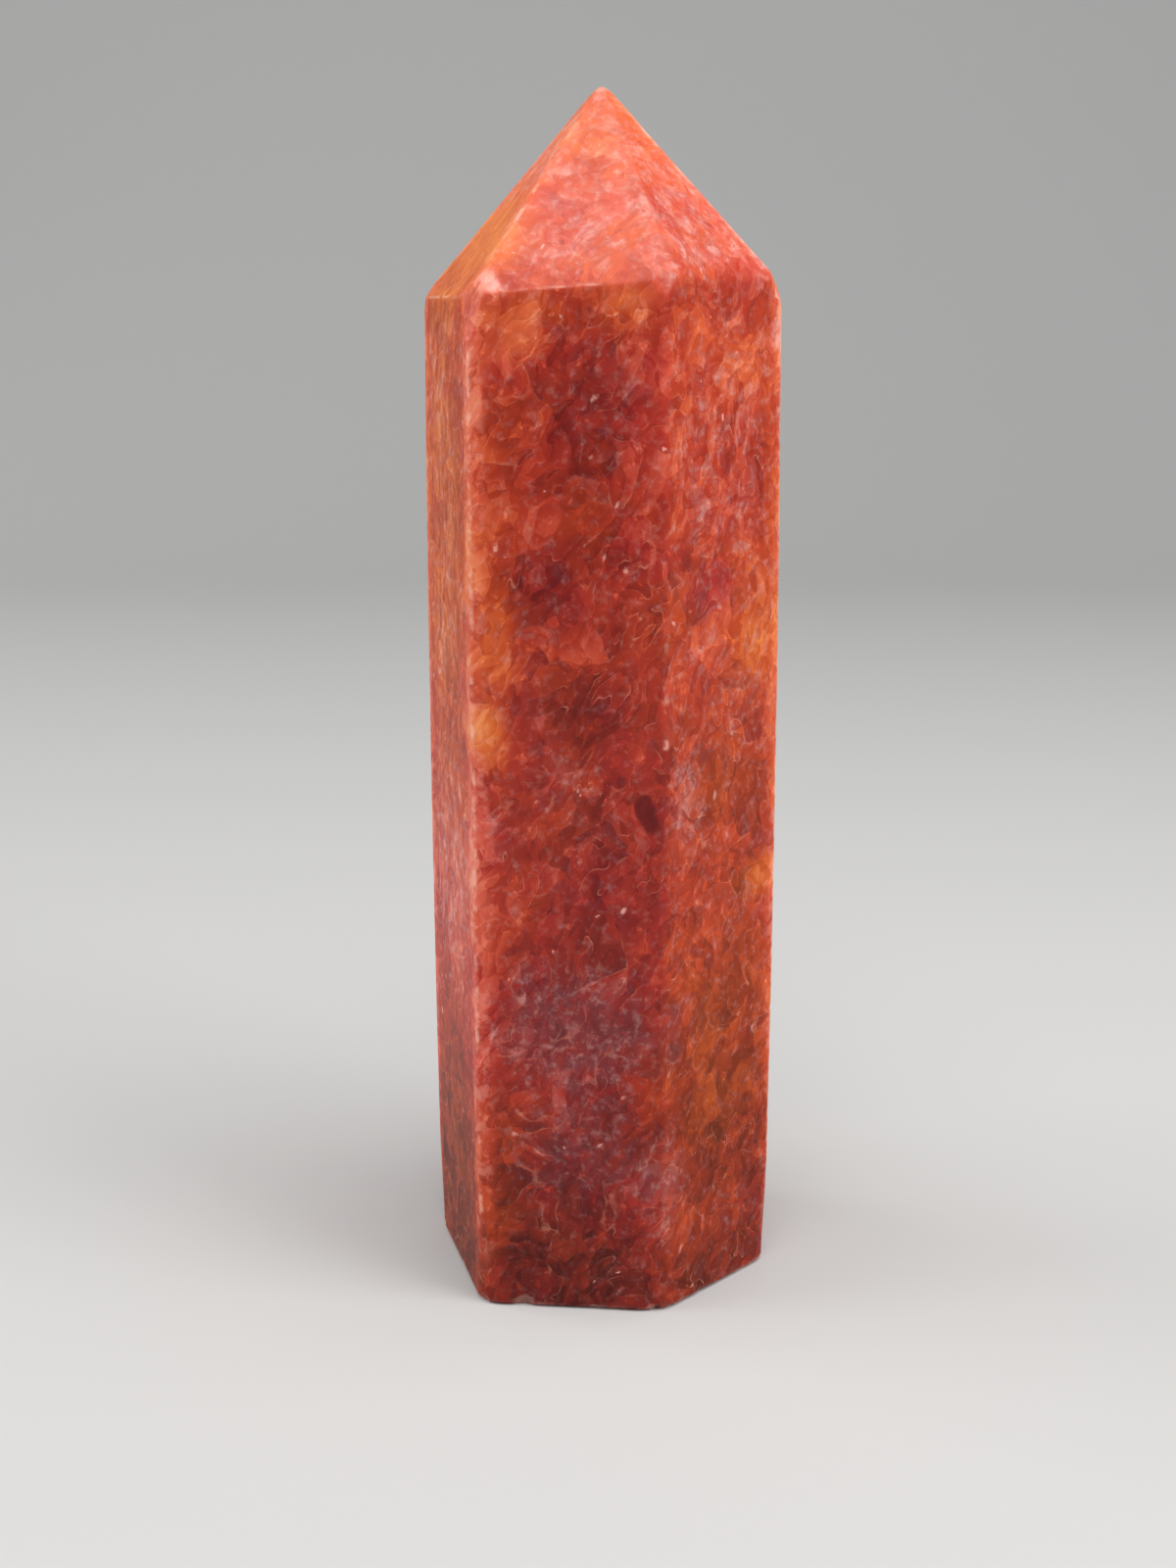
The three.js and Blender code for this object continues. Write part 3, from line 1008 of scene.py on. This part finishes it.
    def flecked(self, colour):
        """Small pale and dark flecks, each in a cell of its own; the pale ones, partly painted glints, crowd
        in some places.
        """
        ragged = self.crumpled(self.split, 0.5, 0.22)
        place = self.drawn_out(ragged, (0.0, FLECK_TILT, 0.0), FLECK_STRETCH)
        cell, chance = self.cells(place)

        def spots(size):
            return self.between(cell["Distance"], self.product(size, 0.3), size, 1.0, 0.0)

        crowding = self.math("MULTIPLY_ADD", self.gathered(self.at, PALE_FLECK_AND_GLINT_PLACES, 0.5), 0.45,
                             self.between(self.noise(self.swirled, 2.2), 0.55, 0.7, 0.0, 0.2))
        dark = spots(self.between(chance["Red"], 0.75, 1.0, 0.0, 0.3))
        colour = self.laid_over(colour, DARK_FLECK, dark, 0.4)
        # pale flecks, partly painted glints, each as strong as its glint
        pale = spots(self.between(self.total(chance["Blue"], crowding), 0.6, 1.2, 0.0, 0.32))
        glint = self.between(chance["Green"], 0.0, 1.0, 0.1, 0.85)
        return self.laid_over(colour, PALE_FLECK_AND_GLINT, pale, glint)

    def dark_grained(self, colour):
        """A few clear dark grains deep in the stone."""
        grains = self.gathered(self.split, DARK_GRAINS, 0.7, stretch=1.7)
        return self.laid_over(colour, DARK_GRAIN, grains, 0.75)

    def worn(self, colour):
        """Pale broken lines along the edges, partly wear and partly painted highlight, a dull bevel at the
        foot and the bruises in the chips.
        """
        breaks = self.between(self.noise(self.at, 1.6, 3.0, 0.7), 0.44, 0.62, 0.08, 1.0)
        # pale broken edge lines, partly wear and partly painted highlight
        colour = self.laid_over(colour, EDGE_WEAR_AND_HIGHLIGHT, self.mark("on_edge"), breaks, 0.6)
        frayed = self.between(self.noise(self.at, 1.3, 3.0, 0.6), 0.52, 0.64)
        near = self.between(self.clear_edge, 0.35, 0.85)
        colour = self.laid_over(colour, FRAYED_EDGE, near, frayed, 0.35)
        bevel = self.between(self.height, 0.2, 0.6, 0.35, 0.0)
        dull = self.between(self.noise(self.at, 1.0, 3.0), 0.35, 0.6)
        colour = self.laid_over(colour, SAWN_BEVEL, bevel, dull)
        return self.laid_over(colour, BRUISE, self.mark("bruised"))


def new_finish(name, values):
    """A new material and its shader, with these plain values set."""
    material = bpy.data.materials.new(name)
    material.use_nodes = True
    shader = material.node_tree.nodes["Principled BSDF"]
    for label, value in values.items():
        shader.inputs[label].default_value = value
    return material, shader


def sunstone_finish(tip):
    """Polished translucent sunstone: red grains and healed cracks with clouds of orange, wine and milk."""
    material, shader = new_finish("polished sunstone", POLISH)
    pattern = StonePattern(material.node_tree, tip)
    pattern.lay_clouds()
    pattern.lay_grains()
    pattern.lighten_edges()
    colour = pattern.colour_of_stone()
    for layer in (pattern.veiled, pattern.lined, pattern.dark_grained, pattern.flecked, pattern.worn):
        colour = layer(colour)
    pattern.feed(shader, "Base Color", colour)
    polish_waves = pattern.noise(pattern.at, 0.9, 1.0)
    bump = {"Strength": 0.3, "Distance": 0.12 * MM, "Height": polish_waves}
    pattern.feed(shader, "Normal", pattern.made("ShaderNodeBump", bump))
    pattern.feed(shader, "Roughness", pattern.math("MULTIPLY_ADD", pattern.mark("bruised"), 0.4, 0.3))
    return material


def build_stone():
    tip = tip_axis()
    group, shape = ground_point_group()
    material = sunstone_finish(tip)
    finished = group.made("GeometryNodeSetMaterial", {"Geometry": shape, "Material": material})
    group.give("Geometry", finished)
    stone = plain_mesh_object("sunstone_point", group, {"Tip axis": tip})
    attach(stone, "root")
    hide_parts(STONE_NODE)
    return tip


# The studio. All lamps look at about the middle of the stone.

LAMPS_LOOK_AT = Vector((0.0, 0.0, 0.05))
LAMPS = [
    {"name": "top_softbox", "place": (0.04, -0.1, 0.36), "size": (0.36, 0.3), "watts": 1.0},
    {"name": "right_softbox", "place": (0.6, -0.28, 0.4), "size": (0.5, 0.5), "watts": 2.3},
    {"name": "left_softbox", "place": (-0.6, 0.05, 0.3), "size": (0.5, 0.5), "watts": 2.0},
]
AIR_COLOUR = "#e9ecf0"
AIR_BRIGHTNESS = 0.38
PALE_PAPER = {"Base Color": paint("#cfcecc"), "Roughness": 0.9, "Specular IOR Level": 0.0}
BEND_STEPS = 18

# The camera: where it stands from the tip axis at the foot, how far it looks down in degrees, and its
# lens and sensor in mm, all found from the stone's outline in the photograph.
CAMERA_PLACE = Vector((-0.96, -140.77, 73.55)) * MM
CAMERA_LOOKS_DOWN = 13.861
LENS_LENGTH = 42.75
SENSOR_SIZE = 36.0


def studio_sweep():
    """A pale floor that curves up behind the stone into a backdrop."""
    half_width, front, back, bend, top = 1.2, -1.2, 0.75, 0.35, 1.6
    arc = [(back - bend + bend * math.sin(a), bend - bend * math.cos(a))
           for a in (math.radians(90 * step / BEND_STEPS) for step in range(BEND_STEPS + 1))]
    profile = [(front, 0.0), *arc, (back, top)]
    corners = [(x, y, z) for y, z in profile for x in (-half_width, half_width)]
    faces = [(2 * i, 2 * i + 1, 2 * i + 3, 2 * i + 2) for i in range(len(profile) - 1)]
    mesh = bpy.data.meshes.new("studio_sweep")
    mesh.from_pydata(corners, [], faces)
    mesh.polygons.foreach_set("use_smooth", [True] * len(faces))
    mesh.materials.append(new_finish("pale paper", PALE_PAPER)[0])
    new_object("studio_sweep", mesh)


def soft_lamp(name, place, size, watts):
    lamp = bpy.data.lights.new(name, "AREA")
    lamp.shape = "RECTANGLE"
    lamp.size, lamp.size_y = size
    lamp.energy = watts
    holder = new_object(name, lamp)
    holder.location = place
    holder.rotation_euler = (LAMPS_LOOK_AT - Vector(place)).to_track_quat("-Z", "Y").to_euler()


def studio_light():
    for lamp in LAMPS:
        soft_lamp(**lamp)
    world = bpy.data.worlds.new("studio_air")
    world.use_nodes = True
    air = world.node_tree.nodes["Background"]
    air.inputs["Color"].default_value = paint(AIR_COLOUR)
    air.inputs["Strength"].default_value = AIR_BRIGHTNESS
    bpy.context.scene.world = world
    bpy.context.scene.view_settings.view_transform = "Standard"


def studio_camera(tip):
    lens = bpy.data.cameras.new("photo_camera")
    lens.sensor_width = SENSOR_SIZE
    lens.lens = LENS_LENGTH
    lens.clip_start = 0.01
    camera = new_object("photo_camera", lens)
    camera.location = tip + CAMERA_PLACE
    camera.rotation_euler = (math.radians(90 - CAMERA_LOOKS_DOWN), 0, 0)
    bpy.context.scene.camera = camera


tip = build_stone()
studio_sweep()
studio_light()
studio_camera(tip)
